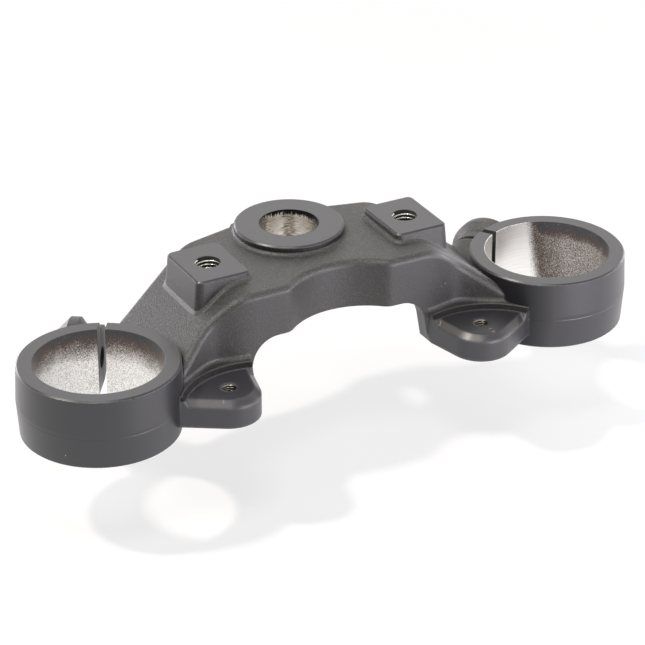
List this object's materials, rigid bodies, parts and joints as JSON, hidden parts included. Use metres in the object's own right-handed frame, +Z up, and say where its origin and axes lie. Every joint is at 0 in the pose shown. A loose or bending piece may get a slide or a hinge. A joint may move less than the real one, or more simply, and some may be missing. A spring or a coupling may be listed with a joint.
{
  "type": "motorcycle triple clamp",
  "caption": "Black-coated cast aluminium steering bridge that clamps the fork tubes in split rings, with a raised stem hub, handlebar pads and front bracket lobes.",
  "frame": {"origin": "on the steering stem's axis, at the lower end of the stem bore", "axes": "+Z up the stem, +Y to the rear of the motorcycle, +X to the right of a viewer who stands in front of it"},
  "size_m": [0.2598, 0.0902, 0.0481],
  "materials": {
    "black_coated_casting": "satin black coating on a fine sand-cast surface, with bare machined bores"
  },
  "bodies": {
    "root": {"triple_clamp": "black_coated_casting"}
  },
  "joints": []
}
